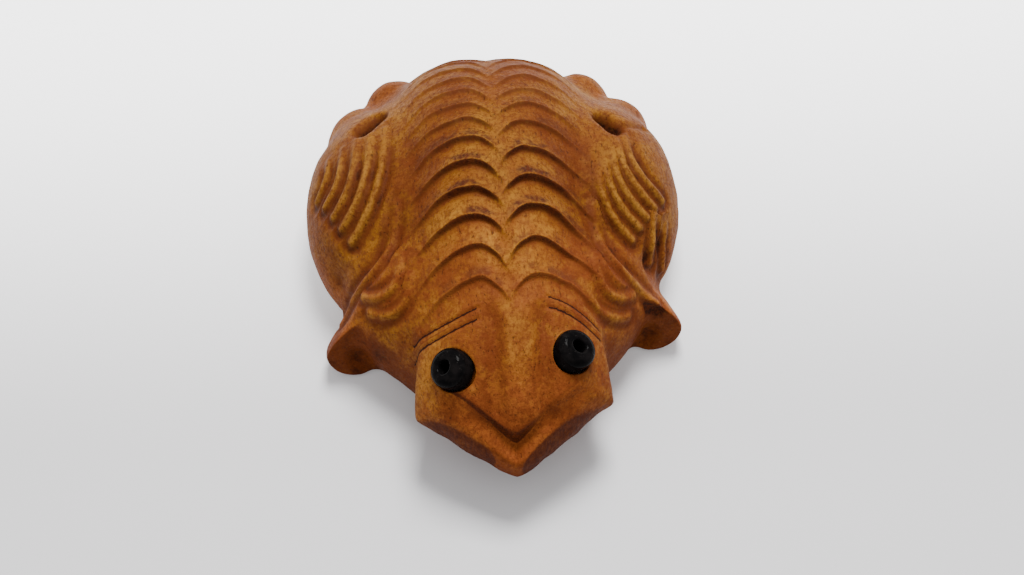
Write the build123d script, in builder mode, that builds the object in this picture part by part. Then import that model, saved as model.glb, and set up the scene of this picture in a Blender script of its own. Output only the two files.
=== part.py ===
"""Small carved wooden beast with inlaid glass bead eyes, in millimetres.

The animal is one block of fine-grained wood: a ribbed, humped back, round haunches, two short
front legs, stubby rear toes and a flat head that ends in a V-shaped lip. It faces -Y, rests on
Z = 0 and its bounding box is centred on X = 0 and Y = 0. Each eye is a black glass seed bead,
bore outward, on a thin glue bed in a blind socket.
"""

import os
from math import cos, radians, sin, sqrt

from build123d import *

os.makedirs("parts", exist_ok=True)

SIDES = (-1, 1)

# Eye beads and their sockets
BEAD_DIAMETER = 4.2
BEAD_LENGTH = 2.9
BEAD_BORE = 1.4
BEAD_ROUNDING = 0.95
BORE_ROUNDING = 0.3
BEAD_PROUD = 1.5
SOCKET_CLEARANCE = 0.05
GLUE_THICKNESS = 0.35
EYES = {
    "left": ((-5.1, -17.6, 12.9), (-0.62, -0.17, 0.77)),
    "right": ((7.1, -16.4, 13.3), (0.46, -0.04, 0.89)),
}

# Humped back, fuller at the rump than at the shoulders
HUMP_CENTRE = (0, 3.2, 4.0)
HUMP_HALF_WIDTH = 12.6
HUMP_HALF_LENGTH = 22.7
HUMP_HALF_HEIGHT = 15.5
BULGE_STATIONS = (-0.995, -0.93, -0.75, -0.45, 0.0, 0.4, 0.65, 0.82, 0.93, 0.995)

# Haunches, shoulders and neck
HAUNCH_CENTRE = (11.0, 6.5, 4.5)
HAUNCH_RADIUS = 9.7
HAUNCH_HALF_LENGTH = 13.5
HAUNCH_TURN = 4.0
SHOULDER_CENTRE = (8.6, -5.5, 5.0)
SHOULDER_RADIUS = 7.2
SHOULDER_HALF_HEIGHT = 9.0
NECK_CENTRE = (0.5, -8.5, 5.0)
NECK_HALF_SIZES = (12.0, 8.0, 10.5)

# Head, turned a little off the body's centre line
HEAD_CENTRE_X = 1.0
HEAD_BACK_Y = -6.0
HEAD_BACK_HALF_WIDTH = 12.4
HEAD_ARCH_CENTRE = (-11.0, 3.0)
HEAD_ARCH_HALF_SIZES = (12.2, 17.8, 13.0)
BROW_Y, BROW_Z = -12.0, 16.2
NOSE_Y, NOSE_Z = -19.6, 12.6
LIP_TIP_Y = -26.0
LIP_CORNER_X, LIP_CORNER_Y = 10.8, -19.2
LIP_BOTTOM_Z, LIP_TOP_Z = 4.6, 7.3
CHIN_Y, CHIN_Z = -16.0, 3.6
LIP_SHELF_WIDTH = 2.1
LIP_SHELF_SLOPE = 36
BROW_LINE_X = 6.2
BROW_LINE_YS = (-12.3, -13.6)
BROW_LINE_ANGLE = 30
BROW_LINE_LENGTH = 6.0
BROW_LINE_DEPTH = 0.45
BROW_LINE_WIDTH = 0.35

# Front legs and rear toes
LEG_TOP = (12.0, -3.0, 7.4)
LEG_FOOT = (16.8, -7.6, 2.0)
LEG_RADII = (4.2, 2.4)
TOE_TURN = 35.0
TOES = (((10.3, 21.5, 4.3), 3.8, 4.7), ((13.6, 16.8, 4.6), 4.2, 4.7))
SLOT_CENTRE = (12.7, 14.6, 10.0)
SLOT_DIRECTION = (0.66, -0.75, 0)
SLOT_SIZE = (4.2, 0.9, 6.0)

# Carved scale rows on the back and gouged lines on the haunches
SCALE_ROWS = 10
SCALE_FIRST_Y, SCALE_LAST_Y = -6.6, 20.2
SCALE_X = 4.3
SCALE_RADIUS = 4.3
SCALE_DEPTH = 0.28
SCALE_TILT = 8.5
FLANK_LINE_ANGLES = (28, 42, 56, 70)
FLANK_LINE_RADIUS = 0.45
FLANK_LINE_START = 50
FLANK_LINE_SPAN = 75


def cosine_bulge(reach):
    """Half size of a round body, as a share of its largest, at a share of its half length."""
    return sqrt(max(0.0, 1.0 - reach * reach))


def hump_half_sizes(y):
    """Half width and half height of the back at Y."""
    bulge = cosine_bulge((y - HUMP_CENTRE[1]) / HUMP_HALF_LENGTH)
    if y < HUMP_CENTRE[1]:
        return HUMP_HALF_WIDTH * bulge, HUMP_HALF_HEIGHT * bulge
    return HUMP_HALF_WIDTH * bulge**0.62, HUMP_HALF_HEIGHT * bulge**0.94


def back_height(x, y):
    """Height above the table of the upper surface at a point of its plan, from the tail to the brow."""
    half_width, half_height = hump_half_sizes(y)
    hump = HUMP_CENTRE[2] + half_height * cosine_bulge(x / half_width)
    arch_y, arch_z = HEAD_ARCH_CENTRE
    arch_half_width, arch_half_length, arch_half_height = HEAD_ARCH_HALF_SIZES
    reach = sqrt(((x - HEAD_CENTRE_X) / arch_half_width) ** 2 + ((y - arch_y) / arch_half_length) ** 2)
    return max(hump, arch_z + arch_half_height * cosine_bulge(reach))


def back_plane(x, y, depth, tilt):
    """Plane sunk below the back, facing outward, and tilted so that it rises toward the head."""
    step = 0.05
    slope_x = (back_height(x + step, y) - back_height(x - step, y)) / (2 * step)
    slope_y = (back_height(x, y + step) - back_height(x, y - step)) / (2 * step)
    outward = Vector(-slope_x, -slope_y, 1).normalized()
    across = Vector(0, 1, 0).cross(outward).normalized()
    surface = Vector(x, y, back_height(x, y))
    plane = Plane(origin=surface - outward * depth, x_dir=across, z_dir=outward)
    return plane.rotated((-tilt, 0, 0))


def mirror_point(point, side):
    """A point, or a direction, of the right half moved to the chosen side."""
    return Vector(side * point[0], point[1], point[2])


def spheroid(centre, radius, half_length, axis):
    """Add a round body of revolution to the active part, long along the given axis."""
    across = Vector(0, 0, 1) if abs(axis.Z) < 0.9 else Vector(0, 1, 0)
    profile_plane = Plane(origin=centre, x_dir=axis, z_dir=axis.cross(across))
    with BuildSketch(profile_plane) as profile:
        Ellipse(half_length, radius)
        Rectangle(2 * half_length, radius, align=(Align.CENTER, Align.MIN), mode=Mode.INTERSECT)
    revolve(profile.sketch, axis=Axis(centre, axis))


def haunch_axis(side):
    """Long direction of one haunch, turned outward at the tail end."""
    return Vector(side * sin(radians(HAUNCH_TURN)), cos(radians(HAUNCH_TURN)), 0)


def toe_axis(side):
    """Direction that the rear toes of one side point in."""
    return Vector(side * sin(radians(TOE_TURN)), cos(radians(TOE_TURN)), 0)


def eye_plane(name, height=0.0):
    """Plane across one bead's bore, at a height above the mouth of its socket."""
    mouth, axis = EYES[name]
    outward = Vector(axis).normalized()
    return Plane(origin=Vector(mouth) + outward * height, z_dir=outward)


# Head: side profile, plan outline and front arch, intersected
with BuildPart() as head:
    with BuildSketch(Plane.YZ):
        with BuildLine():
            ThreePointArc((BROW_Y, BROW_Z), (NOSE_Y, NOSE_Z), (LIP_TIP_Y, LIP_TOP_Z))
            Polyline(
                (LIP_TIP_Y, LIP_TOP_Z),
                (LIP_TIP_Y, LIP_BOTTOM_Z),
                (CHIN_Y, CHIN_Z),
                (HEAD_BACK_Y, CHIN_Z - 1),
                (HEAD_BACK_Y, BROW_Z + 1.8),
            )
            ThreePointArc(
                (HEAD_BACK_Y, BROW_Z + 1.8), (BROW_Y + 2.4, BROW_Z + 0.9), (BROW_Y, BROW_Z)
            )
        make_face()
    extrude(amount=20, both=True)
    with BuildSketch():
        with BuildLine():
            Polyline(
                (HEAD_CENTRE_X, LIP_TIP_Y),
                (HEAD_CENTRE_X + LIP_CORNER_X, LIP_CORNER_Y),
                (HEAD_CENTRE_X + HEAD_BACK_HALF_WIDTH, HEAD_BACK_Y),
                (HEAD_CENTRE_X - HEAD_BACK_HALF_WIDTH, HEAD_BACK_Y),
                (HEAD_CENTRE_X - LIP_CORNER_X, LIP_CORNER_Y),
                close=True,
            )
        make_face()
    extrude(amount=30, mode=Mode.INTERSECT)
    for share in (0.4, 0.0, -0.4, -0.7, -0.9):
        half_width, half_length, half_height = HEAD_ARCH_HALF_SIZES
        station_y = HEAD_ARCH_CENTRE[0] + share * half_length
        with BuildSketch(Plane.XZ.offset(-station_y)):
            with Locations((HEAD_CENTRE_X, HEAD_ARCH_CENTRE[1])):
                Ellipse(half_width * cosine_bulge(share), half_height * cosine_bulge(share))
    loft(mode=Mode.INTERSECT)

# Carved body: back, haunches, shoulders, neck, legs and toes joined to the head
with BuildPart() as body:
    for share in BULGE_STATIONS:
        station_y = HUMP_CENTRE[1] + share * HUMP_HALF_LENGTH
        with BuildSketch(Plane.XZ.offset(-station_y)):
            with Locations((HUMP_CENTRE[0], HUMP_CENTRE[2])):
                Ellipse(*hump_half_sizes(station_y))
    loft()
    for share in BULGE_STATIONS:
        half_width, half_length, half_height = NECK_HALF_SIZES
        with BuildSketch(Plane.XZ.offset(-(NECK_CENTRE[1] + share * half_length))):
            with Locations((NECK_CENTRE[0], NECK_CENTRE[2])):
                Ellipse(half_width * cosine_bulge(share), half_height * cosine_bulge(share))
    loft()
    for side in SIDES:
        spheroid(mirror_point(HAUNCH_CENTRE, side), HAUNCH_RADIUS, HAUNCH_HALF_LENGTH, haunch_axis(side))
        spheroid(
            mirror_point(SHOULDER_CENTRE, side), SHOULDER_RADIUS, SHOULDER_HALF_HEIGHT, Vector(0, 0, 1)
        )
        for centre, radius, half_length in TOES:
            spheroid(mirror_point(centre, side), radius, half_length, toe_axis(side))
        top, foot = mirror_point(LEG_TOP, side), mirror_point(LEG_FOOT, side)
        for point, radius in zip((top, foot), LEG_RADII):
            with BuildSketch(Plane(origin=point, z_dir=foot - top)):
                Circle(radius)
        loft()
        with Locations(foot):
            Sphere(LEG_RADII[1])
    add(head.part)
    split(bisect_by=Plane.XY, keep=Keep.TOP)

    # Rows of scales in two columns: each is a shallow flat gouge cut that steps down at its tail side
    scale_pitch = (SCALE_LAST_Y - SCALE_FIRST_Y) / (SCALE_ROWS - 1)
    for row in range(SCALE_ROWS):
        for side in SIDES:
            row_y = SCALE_FIRST_Y + scale_pitch * (row + 0.25 * side)
            half_width = hump_half_sizes(row_y)[0]
            chip_x = SCALE_X * half_width / HUMP_HALF_WIDTH
            chip_radius = SCALE_RADIUS * half_width / HUMP_HALF_WIDTH
            chip_plane = back_plane(side * chip_x, row_y - chip_radius, SCALE_DEPTH, SCALE_TILT)
            with BuildSketch(chip_plane):
                Circle(chip_radius)
            extrude(amount=3, mode=Mode.SUBTRACT)

    # Long gouged lines that follow the swell of each haunch from the tail toward the leg
    for side in SIDES:
        for angle in FLANK_LINE_ANGLES:
            spread = Vector(side * cos(radians(angle)), 0, sin(radians(angle)))
            line_plane = Plane(
                origin=mirror_point(HAUNCH_CENTRE, side),
                x_dir=haunch_axis(side),
                z_dir=haunch_axis(side).cross(spread),
            )
            with BuildLine(line_plane) as flank_line:
                EllipticalCenterArc(
                    (0, 0),
                    HAUNCH_HALF_LENGTH,
                    HAUNCH_RADIUS,
                    start_angle=FLANK_LINE_START,
                    arc_size=FLANK_LINE_SPAN,
                )
            with BuildSketch(Plane(origin=flank_line.line @ 0, z_dir=flank_line.line % 0)):
                Circle(FLANK_LINE_RADIUS)
            sweep(path=flank_line.line, mode=Mode.SUBTRACT)

    # Two fine brow lines over each eye
    for side in SIDES:
        for line_y in BROW_LINE_YS:
            line_plane = back_plane(HEAD_CENTRE_X + side * BROW_LINE_X, line_y, BROW_LINE_DEPTH, 0)
            with BuildSketch(line_plane):
                Rectangle(BROW_LINE_LENGTH, BROW_LINE_WIDTH, rotation=-side * BROW_LINE_ANGLE)
            extrude(amount=2, mode=Mode.SUBTRACT)

    # Lower shelf of the V-shaped lip, cut in front of the nose on each side
    lip_tip = Vector(HEAD_CENTRE_X, LIP_TIP_Y, LIP_TOP_Z)
    for side in SIDES:
        corner = Vector(HEAD_CENTRE_X + side * LIP_CORNER_X, LIP_CORNER_Y, LIP_TOP_Z + 1)
        along = (corner - lip_tip).normalized()
        level = Vector(0, 0, 1).cross(along) * side
        slope = radians(LIP_SHELF_SLOPE)
        outward = Vector(0, 0, cos(slope)) - level.normalized() * sin(slope)
        shelf = Plane(origin=lip_tip, x_dir=along, z_dir=outward)
        with BuildSketch(shelf):
            Rectangle(60, 2 * LIP_SHELF_WIDTH)
        extrude(amount=8, mode=Mode.SUBTRACT)

    # Undercut slot between each haunch and its rear toes
    for side in SIDES:
        slot_direction = mirror_point(SLOT_DIRECTION, side)
        slot_plane = Plane(
            origin=mirror_point(SLOT_CENTRE, side), x_dir=slot_direction, z_dir=(0, 0, 1)
        )
        with BuildSketch(slot_plane):
            SlotOverall(SLOT_SIZE[0], SLOT_SIZE[1])
        extrude(amount=SLOT_SIZE[2], mode=Mode.SUBTRACT)

    # Blind eye sockets
    for eye_name in EYES:
        with BuildSketch(eye_plane(eye_name, BEAD_PROUD - BEAD_LENGTH - GLUE_THICKNESS)):
            Circle(BEAD_DIAMETER / 2 + SOCKET_CLEARANCE)
        extrude(amount=BEAD_LENGTH + 1, mode=Mode.SUBTRACT)
body.part.label = "carved_body"
export_step(body.part, "parts/carved_body.step")

for eye_name in EYES:
    # Seed bead with rounded rims, bore outward
    with BuildPart() as eye_bead:
        with BuildSketch(eye_plane(eye_name, BEAD_PROUD - BEAD_LENGTH)):
            Circle(BEAD_DIAMETER / 2)
            Circle(BEAD_BORE / 2, mode=Mode.SUBTRACT)
        extrude(amount=BEAD_LENGTH)
        rims = eye_bead.edges().filter_by(GeomType.CIRCLE).sort_by(SortBy.RADIUS)
        fillet(rims[:2], BORE_ROUNDING)
        rims = eye_bead.edges().filter_by(GeomType.CIRCLE).sort_by(SortBy.RADIUS)
        fillet(rims[-2:], BEAD_ROUNDING)
    eye_bead.part.label = f"eye_bead_{eye_name}"
    export_step(eye_bead.part, f"parts/{eye_bead.part.label}.step")

    # Thin glue bed on the socket floor
    with BuildPart() as eye_glue:
        with BuildSketch(eye_plane(eye_name, BEAD_PROUD - BEAD_LENGTH - GLUE_THICKNESS)):
            Circle(BEAD_DIAMETER / 2)
        extrude(amount=GLUE_THICKNESS)
    eye_glue.part.label = f"eye_glue_{eye_name}"
    export_step(eye_glue.part, f"parts/{eye_glue.part.label}.step")
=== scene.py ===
"""Carved wooden beast with inlaid bead eyes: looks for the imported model.

The body is sculpted here in the model's own frame, in millimetres: its masses are a signed distance
field meshed by surface nets, and the carved scales, ridges and lines are cut into that mesh along
its normals. The animal faces -Y and stands on Z = 0.
"""

import math

import bpy
import numpy as np
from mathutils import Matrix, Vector
from mathutils.kdtree import KDTree


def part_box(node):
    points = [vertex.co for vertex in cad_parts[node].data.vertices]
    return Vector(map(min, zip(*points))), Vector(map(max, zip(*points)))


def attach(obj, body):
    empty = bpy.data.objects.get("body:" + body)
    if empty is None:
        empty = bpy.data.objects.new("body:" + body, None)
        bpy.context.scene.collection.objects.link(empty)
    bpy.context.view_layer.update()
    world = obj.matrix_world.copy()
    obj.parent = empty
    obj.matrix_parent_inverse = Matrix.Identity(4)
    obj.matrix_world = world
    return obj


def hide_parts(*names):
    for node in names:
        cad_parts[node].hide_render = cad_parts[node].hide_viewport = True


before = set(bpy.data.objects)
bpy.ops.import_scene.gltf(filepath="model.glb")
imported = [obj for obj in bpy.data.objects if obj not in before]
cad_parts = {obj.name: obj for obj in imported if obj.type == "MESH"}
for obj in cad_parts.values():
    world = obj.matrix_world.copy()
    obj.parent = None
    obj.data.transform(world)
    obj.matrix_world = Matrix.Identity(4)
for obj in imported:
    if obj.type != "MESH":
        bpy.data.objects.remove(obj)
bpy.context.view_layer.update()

MM = 0.001
SIDES = (-1, 1)
CELL = 0.15

BODY_X = 0.0
HEAD_X = 1.0
LEG_X = 0.55
NOSE_X = 1.6

BEAD_RADIUS = 2.1
BEAD_LENGTH = 2.9
BEAD_PROUD = 1.5
SOCKET_CLEARANCE = 0.05
GLUE_THICKNESS = 0.35
EYES = {
    "left": ((-5.1, -17.6, 12.9), (-0.62, -0.17, 0.77)),
    "right": ((7.1, -16.4, 13.3), (0.46, -0.04, 0.89)),
}


# ---------------------------------------------------------------- distance fields


def smooth_min(a, b, blend):
    share = np.clip(0.5 + 0.5 * (b - a) / blend, 0, 1)
    return b + (a - b) * share - blend * share * (1 - share)


def smooth_max(a, b, blend):
    return -smooth_min(-a, -b, blend)


def smooth_step(low, high, value):
    share = np.clip((value - low) / (high - low), 0, 1)
    return share * share * (3 - 2 * share)


def bell(value, width):
    """One at zero, falling smoothly to nothing about two widths away."""
    return np.exp(-((value / width) ** 2))


def unit(vector):
    vector = np.array(vector, float)
    return vector / np.linalg.norm(vector)


def mirrored(points, centre_x):
    """Points folded onto the right half about a plane X = centre_x."""
    folded = points.copy()
    folded[..., 0] = np.abs(folded[..., 0] - centre_x)
    return folded


def ellipsoid(points, centre, radii, turn=0.0):
    local = points - np.array(centre)
    if turn:
        c, s = math.cos(math.radians(turn)), math.sin(math.radians(turn))
        local = np.stack(
            [local[..., 0] * c + local[..., 1] * s, local[..., 1] * c - local[..., 0] * s, local[..., 2]], -1
        )
    radii = np.array(radii)
    near = np.linalg.norm(local / radii, axis=-1)
    far = np.linalg.norm(local / radii**2, axis=-1)
    return near * (near - 1) / np.maximum(far, 1e-9)


def tapered_limb(points, start, end, start_radius, end_radius):
    start, end = np.array(start), np.array(end)
    along = end - start
    share = np.clip(((points - start) @ along) / (along @ along), 0, 1)
    axis_distance = np.linalg.norm(points - start - share[..., None] * along, axis=-1)
    return axis_distance - (start_radius + (end_radius - start_radius) * share)


def half_space(points, on_plane, outward):
    return (points - np.array(on_plane)) @ unit(outward)


def bent_line(*corners, spacing=0.05):
    """Smooth Bezier curve of the plan that starts and ends at its outer corners and bends toward the rest."""
    corners = [np.array(corner, float) for corner in corners]
    length = sum(np.linalg.norm(b - a) for a, b in zip(corners, corners[1:]))
    share = np.linspace(0, 1, max(3, int(length / spacing)))[:, None]
    while len(corners) > 1:
        corners = [a + (b - a) * share for a, b in zip(corners, corners[1:])]
    return corners[0]


def value_noise(points, scale, seed):
    """Smooth seeded noise from -1 to 1."""
    rng = np.random.default_rng(seed)
    lattice = rng.uniform(-1, 1, (64, 64, 64))
    at = points / scale + 31.5
    base = np.floor(at).astype(int)
    part = at - base
    part = part * part * (3 - 2 * part)
    total = 0.0
    for dx in (0, 1):
        for dy in (0, 1):
            for dz in (0, 1):
                corner = lattice[(base[..., 0] + dx) % 64, (base[..., 1] + dy) % 64, (base[..., 2] + dz) % 64]
                wx = part[..., 0] if dx else 1 - part[..., 0]
                wy = part[..., 1] if dy else 1 - part[..., 1]
                wz = part[..., 2] if dz else 1 - part[..., 2]
                total = total + corner * wx * wy * wz
    return total


# ---------------------------------------------------------------- the animal's masses

# Centre and half sizes of the ellipsoids, the paired ones on the right side
HUMP = ((0, 3.0, 4.0), (12.5, 22.6, 15.5))
HAUNCH = ((11.0, 6.5, 4.5), (9.7, 13.5, 10.5))
HAUNCH_TURN = -4
SHOULDER = ((8.5, -5.5, 5.0), (7.5, 7.0, 9.0))
NECK_X = 0.5
NECK = ((0, -9.0, 5.0), (12.5, 8.5, 10.5))

LIP_TIP = (1.0, -26.2)
LIP_OUTWARD_X = (0.555, 0.600)
LIP_TOP_Z = 6.9
LIP_SHELF_WIDTH = 2.25


def circle_through(a, b, c):
    """Centre and radius of the circle through three points of the middle plane."""
    (ax, ay), (bx, by), (cx, cy) = a, b, c
    d = 2 * (ax * (by - cy) + bx * (cy - ay) + cx * (ay - by))
    aa, bb, cc = ax * ax + ay * ay, bx * bx + by * by, cx * cx + cy * cy
    ux = (aa * (by - cy) + bb * (cy - ay) + cc * (ay - by)) / d
    uy = (aa * (cx - bx) + bb * (ax - cx) + cc * (bx - ax)) / d
    return (ux, uy), math.hypot(ax - ux, ay - uy)


NOSE_CENTRE, NOSE_RADIUS = circle_through((-12.0, 16.2), (-19.6, 12.6), (-25.8, 7.7))


def lip_outward(points):
    """Plan direction that the front of the lip faces: a little more sideways on the right."""
    left, right = LIP_OUTWARD_X
    outward_x = left + (right - left) * smooth_step(-0.5, 1.5, points[..., 0] - LIP_TIP[0])
    return outward_x, -np.sqrt(1 - outward_x**2)


def lip_inset(points):
    """Distance in plan from the front edge of the lip, inward."""
    outward_x, outward_y = lip_outward(points)
    reach = np.hypot(points[..., 0] - LIP_TIP[0], 0.8)
    return -(reach - 0.8) * outward_x - (points[..., 1] - LIP_TIP[1]) * outward_y


def lip_top(points):
    """Height of the lip's upper edge: lowest at the tip, highest part way along each side."""
    reach = np.abs(points[..., 0] - LIP_TIP[0])
    return LIP_TOP_Z + 0.42 * reach - 0.028 * reach**2


def shelf_width(points):
    """Plan width of the sloping face between the lip's edge and the V-shaped line under the nose."""
    x = points[..., 0]
    return LIP_SHELF_WIDTH + 0.15 * smooth_step(-1.0, -3.0, x)


def lip_shelf(points):
    x, z = points[..., 0], points[..., 2]
    inset = lip_inset(points)
    rise = 1.0 + 0.19 * np.abs(x - LIP_TIP[0])
    shelf_z = lip_top(points) + inset * rise - 1.1 * smooth_step(0.3, 2.2, inset)
    bevel = 0.3 + 0.2 * smooth_step(0.5, 3.0, x)
    bevel_z = lip_top(points) + bevel * rise - 0.1 + (inset - bevel) * (rise + 2)
    above = (z - shelf_z) / np.sqrt(1 + rise**2)
    above = smooth_max(above, (z - bevel_z) / np.sqrt(1 + (rise + 2) ** 2), 0.15)
    softness = 0.2 + 0.9 * smooth_step(1.8, 4.5, x) + 1.6 * smooth_step(-4.5, -7.0, x)
    return smooth_min(above, shelf_width(points) - inset, softness)


def head_field(points):
    folded = mirrored(points, HEAD_X)
    roof = ellipsoid(folded, (0, -11.0, 3.0), (12.4, 17.8, 13.0))
    face = np.hypot(points[..., 1] - NOSE_CENTRE[0], points[..., 2] - NOSE_CENTRE[1]) - NOSE_RADIUS
    field = smooth_max(roof, face, 1.2)
    field = smooth_max(field, half_space(folded, (10.3, -19.0, 7.0), (1, 0.20, -0.05)), 0.6)
    outward_x, outward_y = lip_outward(points)
    front = folded[..., 0] * outward_x + (points[..., 1] + 26.5) * outward_y - 0.12 * (points[..., 2] - 6.0)
    tip = half_space(folded, (0, -26.05, 6.0), (0, -1, -0.12))
    field = smooth_max(field, smooth_max(front, tip, 1.0), 0.3)
    field = smooth_max(field, half_space(folded, (0, -25.9, 4.4), (0.27, -0.08, -1)), 0.5)
    return smooth_max(field, lip_shelf(points), 0.3)


def front_leg(points):
    """Chunky paws, each with a flat, slightly hollow front."""
    folded = mirrored(points, LEG_X)
    folded[..., 1] -= 0.045 * (points[..., 0] - LEG_X)
    leg = tapered_limb(folded, (12.0, -3.4, 7.0), (16.0, -7.6, 3.1), 4.4, 3.5)
    leg = smooth_max(leg, half_space(folded, (19.8, -8.6, 2.8), (0.8, 0.40, 0.45)), 0.8)
    leg = smooth_max(leg, half_space(folded, (16.0, -9.1, 3.4), (-0.06, -0.95, 0.25)), 0.1)
    hollow = ellipsoid(folded, (14.0, -11.2, 3.3), (3.7, 3.2, 3.2))
    return smooth_max(leg, -hollow, 0.4)


def body_field(points):
    folded = mirrored(points, BODY_X)
    field = ellipsoid(folded, *HUMP)
    field = smooth_min(field, ellipsoid(folded, (3.6, 12.0, 4.0), (10.0, 13.6, 12.8)), 3.0)
    field = smooth_min(field, ellipsoid(folded, *HAUNCH, turn=HAUNCH_TURN), 2.0)
    field = smooth_min(field, ellipsoid(folded, *SHOULDER), 2.0)
    field = smooth_min(field, front_leg(points), 1.2)
    field = smooth_min(field, tapered_limb(folded, (9.0, 18.3, 5.6), (10.4, 21.6, 4.6), 3.9, 3.8), 1.4)
    field = smooth_min(field, tapered_limb(folded, (12.0, 13.2, 6.6), (14.2, 17.2, 4.8), 4.2, 4.1), 1.4)
    field = smooth_min(field, ellipsoid(mirrored(points, NECK_X), *NECK), 2.0)
    field = smooth_min(field, head_field(points), 1.2)
    return smooth_max(field, -points[..., 2], 0.5)


def socket_field(points, centre, axis):
    axis = unit(axis)
    local = points - np.array(centre)
    height = local @ axis
    radial = np.linalg.norm(local - height[..., None] * axis, axis=-1)
    floor_height = BEAD_PROUD - BEAD_LENGTH - GLUE_THICKNESS
    return np.maximum(radial - BEAD_RADIUS - SOCKET_CLEARANCE, floor_height - height)


def socketed_field(points):
    field = body_field(points)
    for centre, axis in EYES.values():
        field = smooth_max(field, -socket_field(points, centre, axis), 0.18)
    return field


def surface_height(x, y):
    """Height of the uncarved upper surface above a point of the plan."""
    low, high = np.full_like(x, 1.0), np.full_like(x, 22.0)
    for _ in range(20):
        middle = (low + high) / 2
        inside = body_field(np.stack([x, y, middle], -1)) < 0
        low, high = np.where(inside, middle, low), np.where(inside, high, middle)
    return low


def laid_on_surface(plan):
    """Plan points of a carved line, laid on the upper surface."""
    return np.column_stack([plan, surface_height(plan[:, 0], plan[:, 1])])


# ---------------------------------------------------------------- scale rows

# Place along the back and strength of each row of scales, from the neck to the rump
# Each column: Y of the first scale, pitch of the large front scales, Y of the first rear one, rear pitch
SCALE_COLUMNS = {-1: (-9.2, 3.3, 10.0, 2.3), 1: (-8.6, 3.6, 12.1, 2.5)}
FRONT_SCALES = 6
REAR_SCALES = 7
BOLDEST_Y = 0.8
SCALE_DEPTH = 0.8
SCALE_FACE = 0.85
SCALE_APEX = 3.0
FAR = 30.0


def scale_rows(side):
    """Place along the back and strength of each scale edge: boldest mid-back, faint on the rump."""
    first, front_pitch, rear_first, rear_pitch = SCALE_COLUMNS[side]
    places = [first + front_pitch * i for i in range(FRONT_SCALES)]
    places += [rear_first + rear_pitch * i for i in range(REAR_SCALES)]
    return [(y, 0.32 + 0.78 * float(bell(y - BOLDEST_Y, 8.0))) for y in places]


def scale_relief(points):
    """Depth cut by the rows of scales, the distance past the nearest edge and the edge's strength."""
    x, y, z = points[:, 0], points[:, 1], points[:, 2]
    along = y + 0.5 * np.maximum(0, 14 - z) * smooth_step(15, 20, y)
    spine_x = 0.8 - 0.03 * y
    on_back = smooth_step(6.5, 9.0, z + 0.35 * np.maximum(0, y - 10))
    waver = 0.20 * value_noise(points, 3.1, 21) + 0.09 * value_noise(points, 1.2, 22)
    depth = np.zeros(x.shape)
    edge_distance = np.full(x.shape, FAR)
    edge_weight = np.zeros(x.shape)
    for side in SIDES:
        rows = scale_rows(side)
        beyond = side * (x - spine_x) - SCALE_APEX
        drop = np.where(beyond < 0, 0.22, 0.085) * beyond**2 - 0.15 * beyond
        inner = smooth_step(-0.5, 1.6, beyond + SCALE_APEX)
        outer = 1 - 0.55 * smooth_step(2.0, 5.5, beyond)
        fade = inner * outer * (1 - smooth_step(5.0, 7.4, beyond)) * on_back
        before = rows[0][0] - 2.6
        for edge, strength in rows:
            pitch = edge - before
            before = edge
            front = edge + waver - drop - along
            rise = np.clip((front + 0.08) / SCALE_FACE, 0, 1)
            swell = np.clip(1 - front / pitch, 0, 1) ** 0.85
            cut = np.maximum(0, smooth_min(rise * rise * (3 - 2 * rise), swell, 0.3))
            depth = depth + SCALE_DEPTH * strength * fade * cut
            near = (front > -1.4) & (front < 1.5) & (fade > 0.001)
            edge_distance = np.where(near, front, edge_distance)
            edge_weight = np.where(near, fade * min(1.0, 1.15 * strength), edge_weight)
    return depth, edge_distance, edge_weight


# ---------------------------------------------------------------- carved lines

# Fans of ridges, for X measured outward: first start, step between starts, first end, step between ends
FAN_RIDGES = 5
HAUNCH_FANS = {
    -1: ((11.4, 12.3), (1.6, -0.5), (15.3, -0.9), (1.0, 1.7)),
    1: ((11.2, 4.8), (0.85, 1.4), (14.5, -2.0), (0.95, 1.35)),
}
FAN_BEND = 0.26
SIDE_RIDGE_X = (17.2, 18.6)
SIDE_RIDGE_Y = (1.3, -2.9)
# Hooked ridges of a shoulder: start, outward reach, drop toward the head, lift of the hook's end
SHOULDER_HOOKS = (
    ((10.4, 1.4), 6.6, 7.6, -0.6),
    ((10.1, -4.8), 4.2, 4.7, 2.1),
    ((9.1, -7.4), 4.5, 3.8, 1.9),
)
SHOULDER_LEAN = 0.5
# Rear slits: centre and half length along X and Y
REAR_SLITS = (((-13.2, 14.1), (0.8, 0.9)), ((13.0, 12.2), (0.5, -0.7)))
TOE_LINE = ((13.6, 11.4), (17.2, 13.2))
# Brow cuts, left to right: start, end and bow of the upper one; the next is a pitch further down
BROWS = {-1: ((-9.1, -13.1), (-2.3, -12.1), -0.25), 1: ((4.8, -11.0), (10.2, -13.1), 0.4)}
BROW_PITCH = 1.1
TOOL_MARK = ((-2.0, -18.0), (-3.5, -19.7))
HOLLOWS = (
    ((-17.2, -3.2, 7.5), 1.5, 0.45),
    ((16.5, -3.0, 9.0), 1.0, 0.5),
    ((18.0, -1.0, 8.5), 1.0, 0.4),
)
RIDGE_WIDTH = 0.66
TRENCH_REACH = 1.3
RIDGE_DEPTH = 0.58


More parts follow.
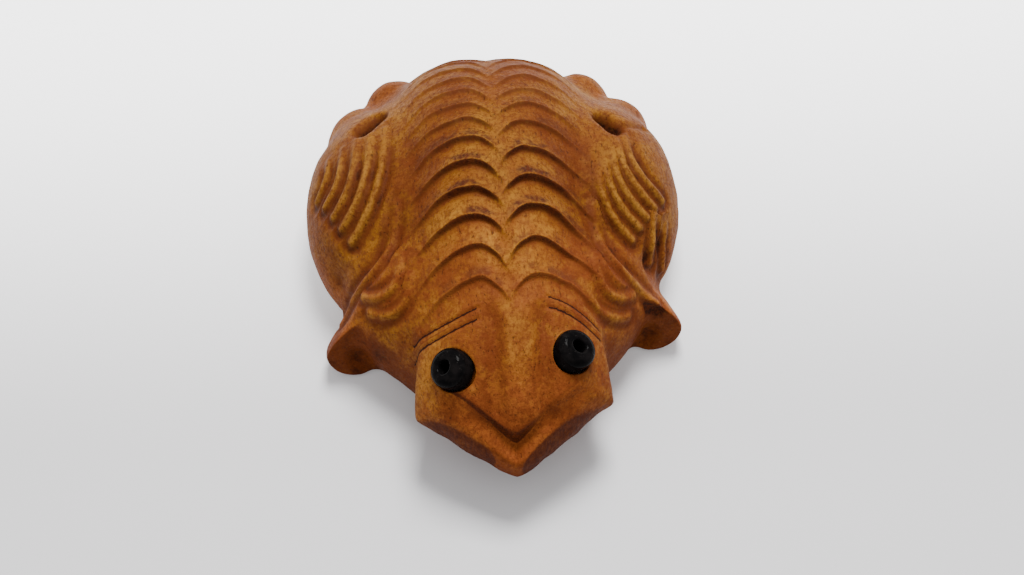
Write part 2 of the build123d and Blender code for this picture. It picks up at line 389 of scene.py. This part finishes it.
def haunch_ridges(side):
    """Fan of ridges on one haunch, each bending outward toward its front end."""
    start, start_step, end, end_step = (np.array(place) for place in HAUNCH_FANS[side])
    lines = []
    for i in range(FAN_RIDGES):
        top, front = start + i * start_step, end + i * end_step
        bend = np.array([top[0] + 0.1, front[1] + FAN_BEND * (top[1] - front[1])])
        lines.append(bent_line(*(corner * (side, 1) for corner in (top, bend, front))))
    if side > 0:
        lines += [bent_line((x, SIDE_RIDGE_Y[0]), (x - 0.5, SIDE_RIDGE_Y[1])) for x in SIDE_RIDGE_X]
    return lines


def shoulder_ridges(side):
    """Three hooks that run forward beside the neck and turn outward over the leg."""
    lines = []
    for (x, y), reach, drop, lift in SHOULDER_HOOKS:
        corners = ((x, y), (x, y - 0.8 * drop), (x + 0.5 * reach, y - drop), (x + reach, y - drop + lift))
        lines.append(bent_line(*((side * cx, cy - side * SHOULDER_LEAN) for cx, cy in corners)))
    return lines


def brow_line(side, row):
    """One brow cut from left to right, a number of rows down the face."""
    start, end, bow = BROWS[side]
    middle = ((start[0] + end[0]) / 2, (start[1] + end[1]) / 2 + 2 * bow)
    return bent_line(*((x, y - BROW_PITCH * row) for x, y in (start, middle, end)))


def fine_brow_line(side):
    """Faint scratch between the two cuts of a brow, along its outer part."""
    line = brow_line(side, 0.5)
    kept = int(0.6 * len(line))
    return line[:kept] if side < 0 else line[-kept:]


def slit_line(centre, half):
    return bent_line(np.array(centre) - half, np.array(centre) + half)


def line_finder(lines):
    """Function that gives the signed distance to the nearest of some carved lines, and the share along it."""
    laid = [laid_on_surface(line) for line in lines]
    samples = np.vstack(laid)
    progress = np.concatenate([np.linspace(0, 1, len(line)) for line in laid])
    heading = np.vstack([np.gradient(line, axis=0) for line in laid])
    tree = KDTree(len(samples))
    for i, sample in enumerate(samples):
        tree.insert(sample, i)
    tree.balance()
    low, high = samples.min(0) - 2.5, samples.max(0) + 2.5

    def nearest_line(points):
        distance = np.full(len(points), FAR)
        share = np.zeros(len(points))
        close = np.all((points > low) & (points < high), axis=1)
        if close.any():
            found = [tree.find(point) for point in points[close].tolist()]
            index = np.array([hit[1] for hit in found])
            offset = points[close] - samples[index]
            side = heading[index, 0] * offset[:, 1] - heading[index, 1] * offset[:, 0]
            distance[close] = np.array([hit[2] for hit in found]) * np.where(side < 0, -1, 1)
            share[close] = progress[index]
        return distance, share

    return nearest_line


ridge_finders = [line_finder(ridges(side)) for ridges in (haunch_ridges, shoulder_ridges) for side in SIDES]
slit_finder = line_finder([slit_line(*slit) for slit in REAR_SLITS])
toe_line_finder = line_finder([bent_line(*TOE_LINE)])
brow_finder = line_finder([brow_line(side, row) for side in SIDES for row in (0, 1)])
fine_brow_finder = line_finder([fine_brow_line(side) for side in SIDES])
mark_finder = line_finder([bent_line(TOOL_MARK[0], (TOOL_MARK[0][0], TOOL_MARK[1][1]), TOOL_MARK[1])])


def ridge_relief(points):
    """Depth of the trenches beside the raised lines, their shade and the light crests."""
    nearest = np.full(len(points), 9.0)
    share = np.zeros(len(points))
    for finder in ridge_finders:
        distance, along = finder(points)
        share = np.where(np.abs(distance) < nearest, along, share)
        nearest = np.minimum(nearest, np.abs(distance))
    strength = 0.25 + 0.75 * smooth_step(0.0, 0.45, share)
    crest = bell(nearest, RIDGE_WIDTH * (0.8 + 0.3 * share))
    strength = strength * (1 - 0.25 * smooth_step(-5.0, -9.0, points[:, 1]))
    trench = np.exp(-((nearest / TRENCH_REACH) ** 3)) * (1 - crest)
    return strength * (RIDGE_DEPTH * trench - 0.10 * crest), strength * trench, strength * crest


def face_relief(points):
    """Raised nose ridge with a soft furrow on each side, and their shade."""
    x, y, z = points[:, 0], points[:, 1], points[:, 2]
    on_face = smooth_step(-11.0, -13.5, y) * smooth_step(-23.3, -21.4, y) * smooth_step(6, 8, z)
    across = x - NOSE_X
    ridge = 0.3 * np.exp(-((across / 1.6) ** 4))
    furrow = bell(across + 2.5, 0.85) + bell(across - 2.5, 0.8)
    shade = bell(across + 2.9, 1.2) + bell(across - 2.7, 0.9) + 0.6 * bell(y + 21.5, 0.9)
    return on_face * (0.42 * furrow - ridge), on_face * np.clip(1.15 * shade, 0, 1)


def line_relief(points):
    """Depth and shade of the slits, brow lines and small tool mark."""
    slit, toe_line, mark = (finder(points)[0] for finder in (slit_finder, toe_line_finder, mark_finder))
    brow, brow_share = brow_finder(points)
    fine_brow, fine_share = fine_brow_finder(points)
    depth = 2.6 * bell(slit, 0.85) + 0.35 * bell(toe_line, 0.5) - 0.10 * bell(mark, 0.3)
    depth = depth + 0.12 * bell(brow, 0.24)
    shade = 2.6 * bell(slit, 0.95) + 0.5 * bell(toe_line, 0.55)
    brow = np.where((np.abs(brow) < 0.5) & (brow_share > 0) & (brow_share < 1), brow, FAR * np.sign(brow))
    fine = (np.abs(fine_brow) < 0.4) & (fine_share > 0) & (fine_share < 1)
    return depth, shade, brow, np.where(fine, fine_brow, FAR * np.sign(fine_brow)), mark


def hollow_relief(points):
    depth = np.zeros(len(points))
    for centre, radius, deep in HOLLOWS:
        depth = depth + deep * bell(np.linalg.norm(points - np.array(centre), axis=1), radius)
    return depth


def clear_of_sockets(points):
    """Nothing inside the eye sockets, one a little way outside them."""
    clear = np.ones(len(points))
    for centre, axis in EYES.values():
        clear = clear * smooth_step(0.02, 0.25, socket_field(points, centre, axis))
    return clear


def carved_depth(points):
    """How far below the uncarved surface the carving goes, with no depth on the flat underside."""
    depth = scale_relief(points)[0] + ridge_relief(points)[0] + face_relief(points)[0]
    depth = depth + line_relief(points)[0] + hollow_relief(points)
    depth = depth + 0.09 * value_noise(points, 2.6, 5) + 0.045 * value_noise(points, 1.1, 6)
    at_lip = smooth_step(0.9, 0.1, lip_inset(points)) * smooth_step(-16.5, -19.0, points[:, 1])
    depth = depth + 0.11 * at_lip * value_noise(points, 1.3, 7)
    return depth * smooth_step(0.4, 2.0, points[:, 2]) * clear_of_sockets(points)


# ---------------------------------------------------------------- meshing


def sample_band(field, origin, cell, counts):
    """Field values on a grid, worked out finely only near the surface."""
    coarse = 5
    axes = [origin[i] + cell * np.arange(counts[i]) for i in range(3)]
    rough = field(np.stack(np.meshgrid(*[axis[::coarse] for axis in axes], indexing="ij"), -1))
    values = np.repeat(np.repeat(np.repeat(rough, coarse, 0), coarse, 1), coarse, 2)
    values = values[: counts[0], : counts[1], : counts[2]]
    where = np.argwhere(np.abs(values) < coarse * cell * 1.9)
    for part in np.array_split(where, max(1, len(where) // 300000)):
        values[tuple(part.T)] = field(origin + cell * part)
    return values


def surface_nets(values, origin, cell):
    """Vertices and quads of the zero surface of a sampled field."""
    inside = values < 0
    counts = np.array(values.shape) - 1
    filled = sum(
        inside[i : i + counts[0], j : j + counts[1], k : k + counts[2]].astype(np.int8)
        for i in (0, 1) for j in (0, 1) for k in (0, 1)
    )
    active = (filled > 0) & (filled < 8)
    cells = np.argwhere(active)
    index = np.full(counts, -1)
    index[active] = np.arange(len(cells))
    total = np.zeros((len(cells), 3))
    crossings = np.zeros(len(cells))
    for axis in range(3):
        u_axis, v_axis = [a for a in range(3) if a != axis]
        for u in (0, 1):
            for v in (0, 1):
                start = np.zeros(3, int)
                start[u_axis], start[v_axis] = u, v
                end = start.copy()
                end[axis] = 1
                a = values[tuple((cells + start).T)]
                b = values[tuple((cells + end).T)]
                crossed = (a < 0) != (b < 0)
                share = np.clip(a / np.where(crossed, a - b, 1), 0, 1)
                at = np.repeat(start[None].astype(float), len(cells), 0)
                at[:, axis] += share
                total[crossed] += at[crossed]
                crossings[crossed] += 1
    vertices = origin + cell * (cells + total / crossings[:, None])
    quads = []
    for axis in range(3):
        u_axis, v_axis = (axis + 1) % 3, (axis + 2) % 3
        here, there = [slice(1, -1)] * 3, [slice(1, -1)] * 3
        here[axis], there[axis] = slice(0, -1), slice(1, None)
        first, second = inside[tuple(here)], inside[tuple(there)]
        edges = np.argwhere(first != second)
        leaving = first[tuple(edges.T)]
        base = edges + 1
        base[:, axis] -= 1
        ring = []
        for du, dv in ((-1, -1), (0, -1), (0, 0), (-1, 0)):
            corner = base.copy()
            corner[:, u_axis] += du
            corner[:, v_axis] += dv
            ring.append(index[tuple(corner.T)])
        quad = np.stack(ring, 1)
        quad[~leaving] = quad[~leaving][:, ::-1]
        quads.append(quad)
    return vertices, np.concatenate(quads)


def field_slope(field, vertices, reach=0.03):
    slopes = []
    for step in np.eye(3) * reach:
        slopes.append((field(vertices + step) - field(vertices - step)) / (2 * reach))
    return np.stack(slopes, 1)


def settle(field, vertices, steps=2):
    """Vertices moved onto the zero surface, with the surface's normals."""
    for _ in range(steps):
        slope = field_slope(field, vertices)
        steep = np.maximum((slope * slope).sum(1), 0.5)
        move = slope * (field(vertices) / steep)[:, None]
        length = np.linalg.norm(move, axis=1)[:, None]
        vertices = vertices - move * np.minimum(1, 0.4 * CELL / np.maximum(length, 1e-9))
    slope = field_slope(field, vertices)
    return vertices, slope / np.linalg.norm(slope, axis=1)[:, None]


def carve(vertices, normals, reach=0.06):
    """Vertices sunk by the carved depth, and normals tilted by the depth's slope."""
    helper = np.where(np.abs(normals[:, 2:]) < 0.7, [[0, 0, 1.0]], [[0, 1.0, 0]])
    first = np.cross(normals, helper)
    first = first / np.linalg.norm(first, axis=1)[:, None]
    second = np.cross(normals, first)
    tilted = normals.copy()
    for tangent in (first, second):
        ahead, behind = carved_depth(vertices + tangent * reach), carved_depth(vertices - tangent * reach)
        slope = (ahead - behind) / (2 * reach)
        tilted = tilted + tangent * slope[:, None]
    sunk = vertices - normals * carved_depth(vertices)[:, None]
    return sunk, tilted / np.linalg.norm(tilted, axis=1)[:, None]


def mesh_object(name, vertices, faces):
    mesh = bpy.data.meshes.new(name)
    mesh.from_pydata(vertices.tolist(), [], faces.tolist())
    mesh.update()
    mesh.polygons.foreach_set("use_smooth", np.ones(len(mesh.polygons), bool))
    piece = bpy.data.objects.new(name, mesh)
    bpy.context.scene.collection.objects.link(piece)
    return piece


def add_attribute(piece, name, values):
    attribute = piece.data.attributes.new(name, "FLOAT", "POINT")
    attribute.data.foreach_set("value", np.ascontiguousarray(values, np.float32))


def valley_shade(points):
    """Where the back meets the haunches and shoulders, and where the head meets the shoulders."""
    folded = mirrored(points, BODY_X)
    hump = ellipsoid(folded, *HUMP)
    haunch = ellipsoid(folded, *HAUNCH, turn=HAUNCH_TURN)
    shoulder = ellipsoid(folded, *SHOULDER)
    neck = ellipsoid(mirrored(points, NECK_X), *NECK)
    leg = front_leg(points)
    beside_back = bell(hump - np.minimum(haunch, shoulder), 1.9) * smooth_step(12, 8, points[:, 1])
    under_shoulder = bell(leg - neck, 1.4) + bell(haunch - leg, 1.2)
    return np.clip(beside_back + 0.8 * under_shoulder, 0, 1) * smooth_step(1.0, 3.0, points[:, 2])


def build_body():
    low = np.array([-22.0, -27.5, -1.0])
    high = np.array([22.0, 27.5, 21.0])
    counts = np.ceil((high - low) / CELL).astype(int) + 1
    values = sample_band(socketed_field, low, CELL, counts)
    vertices, quads = surface_nets(values, low, CELL)
    vertices, normals = settle(socketed_field, vertices)
    _, edge_distance, edge_weight = scale_relief(vertices)
    nose_edge, nose_edge_weight = nose_line(vertices)
    scale_weight = edge_weight
    edge_distance = np.where(nose_edge_weight > 0.01, nose_edge, edge_distance)
    edge_weight = np.where(nose_edge_weight > 0.01, nose_edge_weight, edge_weight)
    _, trench, crest = ridge_relief(vertices)
    _, furrow = face_relief(vertices)
    _, line_shade, brow, fine_brow, mark = line_relief(vertices)
    hollow = hollow_relief(vertices)
    sunk, tilted = carve(vertices, normals)
    box_low, box_high = (np.array(corner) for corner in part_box("carved_body"))
    own_low, own_high = sunk.min(0), sunk.max(0)
    # The sculpt is stretched on each axis to fill the CAD body's box
    fitted = box_low + (sunk - own_low) / (own_high - own_low) * (box_high - box_low)
    piece = mesh_object("carved_body_sculpt", fitted, quads)
    valley = valley_shade(vertices)
    inset = lip_inset(vertices)
    on_lip = smooth_step(-16.5, -19.0, vertices[:, 1]) * smooth_step(1.4, 0.5, inset)
    lip_band = lip_band_width(vertices) - inset
    # Painted shade in the trenches, slits, toe line and hollows, and on the paw fronts and under the neck
    shade = 1.9 * trench + line_shade + 1.6 * hollow
    add_attribute(piece, "shade", np.clip(shade + 1.1 * front_shade(vertices, normals), 0, 1.8))
    add_attribute(piece, "valley", valley)
    add_attribute(piece, "edge_distance", edge_distance)
    add_attribute(piece, "edge_weight", edge_weight)
    add_attribute(piece, "scale_weight", np.where(nose_edge_weight > 0.01, 0, scale_weight))
    # A light line painted along the lip's upper edge as a highlight; it and the painted light on the cheeks
    # join the lighter crests
    lip_edge_highlight = 0.6 * on_lip * bell(lip_band + 0.12, 0.14)
    pale = crest + bell(mark, 0.3) + lip_edge_highlight + 0.8 * cheek_light_and_pale_nose(vertices, tilted)
    add_attribute(piece, "crest", np.clip(pale, 0, 1))
    add_attribute(piece, "furrow", furrow)
    add_attribute(piece, "brow", brow)
    add_attribute(piece, "fine_brow", fine_brow)
    add_attribute(piece, "lip_band", np.where(on_lip > 0.01, lip_band, -3.0))
    add_attribute(piece, "ruddy", lip_redness(vertices))
    # Brightness that grows toward the head, in place of the light that falls there
    add_attribute(piece, "lift", smooth_step(4.0, -10.0, vertices[:, 1]))
    piece.data.normals_split_custom_set_from_vertices(tilted.tolist())
    return piece


def cheek_light_and_pale_nose(points, normals):
    """Paler colour on the sideways faces of the cheeks and the sides of the neck, painted light where they
    lie in shade, and a paler stripe down the nose ridge.
    """
    sideways = smooth_step(0.45, 0.9, np.abs(normals[:, 0]))
    cheeks = sideways * smooth_step(-9.0, -13.0, points[:, 1]) * smooth_step(5.5, 8.0, points[:, 2])
    nose = np.exp(-(((points[:, 0] - NOSE_X) / 1.35) ** 6)) * smooth_step(-12.5, -14.5, points[:, 1])
    nose = nose * smooth_step(-22.5, -20.5, points[:, 1]) * smooth_step(6, 8, points[:, 2])
    return np.maximum(cheeks, 0.95 * nose)


def lip_redness(points):
    """Redder colour over the lips and the lower face, and toward the foot of the flanks."""
    lips = smooth_step(-15.5, -20.5, points[:, 1] + 0.2 * np.abs(points[:, 0] - LIP_TIP[0]))
    flanks = smooth_step(10.5, 5.0, points[:, 2]) * smooth_step(-16.0, -10.0, points[:, 1])
    return 0.7 * lips + 0.65 * flanks


def lip_band_width(points):
    """How far the dark burnished edge of the lip comes up over its bevel; none at the very tip."""
    x = points[:, 0]
    reach = np.abs(x - LIP_TIP[0])
    band = 0.42 * (1 - 0.7 * smooth_step(6.0, 9.5, reach)) + 0.3 * bell(x - 4.5, 3.0)
    return band - 1.6 * bell(x - LIP_TIP[0] + 0.9, 1.05)


def nose_line(points):
    """Distance past the V-shaped line under the nose, and its weight, which is less on the right."""
    x = points[:, 0]
    weight = smooth_step(-6.6, -4.6, x) * (1 - 0.75 * smooth_step(1.5, 3.8, x)) * smooth_step(10.0, 7.5, x)
    distance = 1.8 * (lip_inset(points) - shelf_width(points)) + 0.15
    return distance, weight * smooth_step(-18.0, -19.2, points[:, 1])


def front_shade(points, normals):
    """Painted shade on the fronts of the paws, which face away from the light, and under the neck."""
    folded = mirrored(points, LEG_X)
    paws = smooth_step(-0.60, -0.75, normals[:, 1]) * smooth_step(10.5, 12.0, folded[:, 0])
    paws = paws * smooth_step(-6.5, -7.5, points[:, 1]) * smooth_step(8.5, 7.0, points[:, 2])
    under_neck = smooth_step(8.5, 5.0, points[:, 2]) * smooth_step(-6.0, -9.0, points[:, 1])
    return np.maximum(paws, 0.8 * under_neck)


# ---------------------------------------------------------------- materials


class NodeBuilder:
    """Short names for the nodes that the materials here are made of."""

    def __init__(self, name):
        self.material = bpy.data.materials.new(name)
        self.material.use_nodes = True
        self.nodes = self.material.node_tree.nodes
        self.links = self.material.node_tree.links
        self.shader = self.nodes["Principled BSDF"]
        self.place = self.nodes.new("ShaderNodeTexCoord").outputs["Object"]

    def put(self, value, socket):
        if isinstance(value, (int, float, tuple)):
            socket.default_value = value
        else:
            self.links.new(value, socket)

    def attribute(self, name):
        node = self.nodes.new("ShaderNodeAttribute")
        node.attribute_name = name
        return node.outputs["Fac"]

    def stretched(self, scale):
        node = self.nodes.new("ShaderNodeMapping")
        node.inputs["Scale"].default_value = scale
        self.links.new(self.place, node.inputs["Vector"])
        return node.outputs["Vector"]

    def noise(self, scale, detail=3.0, roughness=0.55, vector=None, distortion=0.0):
        node = self.nodes.new("ShaderNodeTexNoise")
        self.links.new(vector or self.place, node.inputs["Vector"])
        node.inputs["Scale"].default_value = scale
        node.inputs["Detail"].default_value = detail
        node.inputs["Roughness"].default_value = roughness
        node.inputs["Distortion"].default_value = distortion
        return node.outputs["Fac"]

    def math(self, operation, a, b=0.0, clamp=False):
        node = self.nodes.new("ShaderNodeMath")
        node.operation = operation
        node.use_clamp = clamp
        self.put(a, node.inputs[0])
        self.put(b, node.inputs[1])
        return node.outputs[0]

    def ramp(self, value, low, high, out_low=0.0, out_high=1.0):
        node = self.nodes.new("ShaderNodeMapRange")
        node.interpolation_type = "SMOOTHSTEP"
        self.put(value, node.inputs["Value"])
        limits = {"From Min": low, "From Max": high, "To Min": out_low, "To Max": out_high}
        for name, number in limits.items():
            node.inputs[name].default_value = number
        return node.outputs["Result"]

    def mix(self, share, a, b):
        node = self.nodes.new("ShaderNodeMix")
        node.data_type = "RGBA"
        self.put(share, node.inputs["Factor"])
        self.put(a, node.inputs[6])
        self.put(b, node.inputs[7])
        return node.outputs[2]

    def brightened(self, colour, factor):
        node = self.nodes.new("ShaderNodeHueSaturation")
        self.put(factor, node.inputs["Value"])
        self.put(colour, node.inputs["Color"])
        return node.outputs["Color"]

    def bump(self, height, strength, distance):
        node = self.nodes.new("ShaderNodeBump")
        node.inputs["Strength"].default_value = strength
        node.inputs["Distance"].default_value = distance
        self.links.new(height, node.inputs["Height"])
        self.links.new(node.outputs["Normal"], self.shader.inputs["Normal"])


AMBER_LIGHT = (0.180, 0.075, 0.0100, 1)
AMBER_DARK = (0.122, 0.0375, 0.0062, 1)
# Dark stain for the grain, flecks and cut lines; the same two colours also give the painted shade in the
# trenches, slits and hollows and at the scale steps
STAIN_AND_SHADE = (0.062, 0.0135, 0.0035, 1)
DEEP_STAIN_AND_SHADE = (0.013, 0.0034, 0.0018, 1)
PURPLE_BROWN = (0.028, 0.0088, 0.0056, 1)
PALE_CREST = (0.210, 0.094, 0.0150, 1)
RUDDY = (0.185, 0.046, 0.0105, 1)
FURROW_RED = (0.060, 0.0125, 0.0042, 1)
VALLEY_RED = (0.088, 0.0215, 0.0045, 1)
BURNT = (0.030, 0.0075, 0.0040, 1)
BRIGHTNESS = (1.02, 1.44)


def wood_material():
    wood = NodeBuilder("stained_carved_wood")
    mottle = wood.noise(170, 4.0, 0.65)
    cloud = wood.noise(560, 4.0, 0.65)
    fine = wood.noise(2600, 3.0, 0.7)
    grain = wood.noise(1.0, 3.0, 0.6, wood.stretched((2900, 700, 2900)), 0.4)
    flecks = wood.noise(1.0, 2.0, 0.5, wood.stretched((4600, 1500, 4600)))
    colour = wood.mix(wood.ramp(mottle, 0.36, 0.64), AMBER_DARK, AMBER_LIGHT)
    colour = wood.mix(wood.ramp(cloud, 0.42, 0.70, 0.0, 0.45), colour, AMBER_DARK)
    # Lighter wood on the ridge crests, the tool mark and the nose ridge, with painted light on the cheeks and
    # a painted highlight along the lip's edge
    crest = wood.math("MULTIPLY", wood.attribute("crest"), wood.ramp(cloud, 0.3, 0.7, 0.9, 0.5))
    colour = wood.mix(crest, colour, PALE_CREST)
    ruddy = wood.math("MULTIPLY", wood.attribute("ruddy"), wood.ramp(cloud, 0.3, 0.7, 0.75, 1.2), clamp=True)
    colour = wood.mix(ruddy, colour, RUDDY)
    furrow = wood.math("MULTIPLY", wood.attribute("furrow"), wood.ramp(cloud, 0.43, 0.54, 0.35, 1.0))
    colour = wood.mix(furrow, colour, FURROW_RED)
    # Painted shade, a dark red, where the body's masses meet
    valley = wood.math("MULTIPLY", wood.attribute("valley"), wood.ramp(cloud, 0.35, 0.62, 0.5, 1.0))
    colour = wood.mix(valley, colour, VALLEY_RED)
    # Painted shade in the trenches, slits, toe line and hollows, on the paw fronts and under the neck
    shade = wood.math("MULTIPLY", wood.attribute("shade"), wood.ramp(cloud, 0.25, 0.75, 0.65, 1.15))
    colour = wood.mix(wood.ramp(shade, 0.05, 0.85, 0.0, 0.85), colour, STAIN_AND_SHADE)
    colour = wood.mix(wood.ramp(shade, 0.85, 1.4, 0.0, 0.95), colour, DEEP_STAIN_AND_SHADE)
    # Painted shade on each scale step's face and just past it, and along the line under the nose, fading away
    # from the edge; then a darker painted shadow line along the edge itself
    edge = wood.math("ADD", wood.attribute("edge_distance"), wood.ramp(fine, 0.3, 0.7, -0.03, 0.03))
    weight = wood.attribute("edge_weight")
    below = wood.math("MULTIPLY", wood.ramp(edge, -0.06, 0.10), wood.ramp(edge, 0.2, 1.45, 1.0, 0.0))
    uneven = wood.ramp(cloud, 0.3, 0.7, 0.8, 1.1)
    below = wood.math("MULTIPLY", wood.math("MULTIPLY", below, weight), uneven, clamp=True)
    colour = wood.mix(below, colour, STAIN_AND_SHADE)
    line = wood.math("MULTIPLY", wood.ramp(edge, -0.08, 0.04), wood.ramp(edge, 0.18, 0.60, 0.7, 0.0))
    colour = wood.mix(wood.math("MULTIPLY", line, weight), colour, DEEP_STAIN_AND_SHADE)
    above = wood.math("MULTIPLY", wood.ramp(edge, -1.35, -0.7), wood.ramp(edge, -0.25, -0.05, 1.0, 0.0))
    blotches = wood.ramp(wood.noise(270, 3.0, 0.7), 0.45, 0.58)
    above = wood.math("MULTIPLY", wood.math("MULTIPLY", above, wood.attribute("scale_weight")), blotches)
    above = wood.math("MULTIPLY", above, wood.ramp(fine, 0.35, 0.6, 0.55, 1.0))
    colour = wood.mix(above, colour, PURPLE_BROWN)
    speckle = wood.noise(1500, 5.0, 0.75)
    colour = wood.mix(wood.ramp(speckle, 0.49, 0.60, 0.0, 0.50), colour, STAIN_AND_SHADE)
    colour = wood.mix(wood.ramp(fine, 0.48, 0.68, 0.0, 0.50), colour, STAIN_AND_SHADE)
    colour = wood.mix(wood.ramp(grain, 0.48, 0.68, 0.0, 0.50), colour, STAIN_AND_SHADE)
    colour = wood.mix(wood.ramp(fine, 0.44, 0.28, 0.0, 0.12), colour, PALE_CREST)
    colour = wood.mix(wood.ramp(flecks, 0.62, 0.72, 0.0, 0.55), colour, DEEP_STAIN_AND_SHADE)
    hatch = wood.noise(1.0, 2.0, 0.6, wood.stretched((3800, 500, 1200)))
    hatched = wood.math("MULTIPLY", hatch, 0.3)
    band = wood.ramp(wood.math("ADD", wood.attribute("lip_band"), hatched), 0.08, 0.28)
    colour = wood.mix(wood.math("MULTIPLY", band, wood.ramp(hatch, 0.3, 0.7, 0.95, 0.65)), colour, BURNT)
    brow = wood.math("ADD", wood.attribute("brow"), wood.ramp(fine, 0.3, 0.7, -0.05, 0.05))
    width = wood.math("ABSOLUTE", brow)
    colour = wood.mix(wood.ramp(width, 0.10, 0.30, 0.45, 0.0), colour, STAIN_AND_SHADE)
    colour = wood.mix(wood.ramp(width, 0.07, 0.12, 1.0, 0.0), colour, DEEP_STAIN_AND_SHADE)
    width = wood.math("ABSOLUTE", wood.attribute("fine_brow"))
    colour = wood.mix(wood.ramp(width, 0.04, 0.09, 0.6, 0.0), colour, STAIN_AND_SHADE)
    colour = wood.brightened(colour, wood.ramp(wood.attribute("lift"), 0.0, 1.0, *BRIGHTNESS))
    wood.links.new(colour, wood.shader.inputs["Base Color"])
    wood.links.new(wood.ramp(fine, 0.3, 0.7, 0.50, 0.66), wood.shader.inputs["Roughness"])
    wood.shader.inputs["Specular IOR Level"].default_value = 0.03
    height = wood.math("ADD", wood.math("MULTIPLY", grain, 0.6), wood.math("MULTIPLY", fine, 0.9))
    height = wood.math("SUBTRACT", height, wood.ramp(flecks, 0.60, 0.72, 0.0, 0.3))
    wood.bump(height, 0.7, 0.00012)
    return wood.material


def glass_material():
    glass = NodeBuilder("black_bead_glass")
    smudge = glass.noise(900, 3.0, 0.6)
    scratches = glass.noise(1.0, 2.0, 0.5, glass.stretched((900, 5200, 2600)), 0.6)
    dust = glass.ramp(glass.noise(3600, 2.0, 0.7), 0.68, 0.74, 0.0, 0.35)
    colour = glass.mix(glass.ramp(smudge, 0.35, 0.7), (0.0020, 0.0018, 0.0020, 1), (0.006, 0.005, 0.005, 1))
    glass.links.new(glass.mix(dust, colour, (0.06, 0.055, 0.05, 1)), glass.shader.inputs["Base Color"])
    glass.links.new(glass.ramp(smudge, 0.35, 0.7, 0.10, 0.26), glass.shader.inputs["Roughness"])
    glass.shader.inputs["Specular IOR Level"].default_value = 0.015
    height = glass.math("ADD", glass.ramp(scratches, 0.62, 0.72), glass.math("MULTIPLY", smudge, 0.8))
    glass.bump(height, 0.25, 0.00005)
    return glass.material


def glue_material():
    glue = NodeBuilder("aged_clear_glue")
    cloud = glue.noise(1200, 3.0, 0.6)
    colour = glue.mix(cloud, (0.12, 0.035, 0.006, 1), (0.06, 0.015, 0.003, 1))
    glue.links.new(colour, glue.shader.inputs["Base Color"])
    glue.links.new(glue.ramp(cloud, 0.3, 0.7, 0.15, 0.35), glue.shader.inputs["Roughness"])
    glue.bump(cloud, 0.3, 0.00005)
    return glue.material


body = build_body()
body.data.materials.append(wood_material())
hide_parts("carved_body")
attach(body, "root")

glass = glass_material()
glue = glue_material()
for name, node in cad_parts.items():
    if name.startswith("eye_"):
        for material_slot in node.material_slots:
            material_slot.material = glass if name.startswith("eye_bead") else glue

# ---------------------------------------------------------------- stage, light, camera

# The floor glows toward the back: from nothing at the first Y, in metres, to full strength at the second
FLOOR_GLOW_Y = (-0.02, 0.05)
FLOOR_GLOW = 2.5
bpy.ops.mesh.primitive_plane_add(size=4)
floor = bpy.context.object
floor.name = "floor"
floor_look = NodeBuilder("pale_floor")
floor_look.links.new(
    floor_look.mix(floor_look.noise(6, 2.0), (0.62, 0.62, 0.64, 1), (0.65, 0.65, 0.67, 1)),
    floor_look.shader.inputs["Base Color"],
)
spread = floor_look.nodes.new("ShaderNodeSeparateXYZ")
floor_look.links.new(floor_look.place, spread.inputs["Vector"])
floor_look.shader.inputs["Emission Color"].default_value = (1, 1, 1, 1)
glow = floor_look.ramp(spread.outputs["Y"], *FLOOR_GLOW_Y, 0.0, FLOOR_GLOW)
floor_look.links.new(glow, floor_look.shader.inputs["Emission Strength"])
floor_look.shader.inputs["Roughness"].default_value = 0.9
floor_look.shader.inputs["Specular IOR Level"].default_value = 0.1
floor.data.materials.append(floor_look.material)

world = bpy.data.worlds.new("soft_studio")
bpy.context.scene.world = world
world.use_nodes = True
world.node_tree.nodes["Background"].inputs["Color"].default_value = (1, 0.99, 0.985, 1)
world.node_tree.nodes["Background"].inputs["Strength"].default_value = 1.0


def area_light(name, location, target, size, power, colour=(1, 1, 1)):
    light = bpy.data.lights.new(name, "AREA")
    light.energy = power
    light.size = size
    light.color = colour
    lamp = bpy.data.objects.new(name, light)
    lamp.location = location
    lamp.rotation_euler = (Vector(target) - Vector(location)).to_track_quat("-Z", "Y").to_euler()
    bpy.context.scene.collection.objects.link(lamp)


area_light("back_light", (0.03, 0.115, 0.26), (0, 0.0, 0.01), 0.10, 1.65, (1, 0.985, 0.96))

CAMERA_AZIMUTH = math.radians(-3)
CAMERA_ELEVATION = math.radians(58)
CAMERA_DISTANCE = 180 * MM
CAMERA_LENS, CAMERA_SENSOR = 59.77, 36
CAMERA_TARGET = Vector((1.5 * MM, -5.8 * MM, 9.0 * MM))
camera_data = bpy.data.cameras.new("camera")
camera_data.sensor_width = CAMERA_SENSOR
camera_data.lens = CAMERA_LENS
camera_data.clip_start = 0.005
camera = bpy.data.objects.new("camera", camera_data)
back = Vector(
    (
        math.sin(CAMERA_AZIMUTH) * math.cos(CAMERA_ELEVATION),
        -math.cos(CAMERA_AZIMUTH) * math.cos(CAMERA_ELEVATION),
        math.sin(CAMERA_ELEVATION),
    )
)
camera.location = CAMERA_TARGET + back * CAMERA_DISTANCE
camera.rotation_euler = (-back).to_track_quat("-Z", "Y").to_euler()
bpy.context.scene.collection.objects.link(camera)
bpy.context.scene.camera = camera
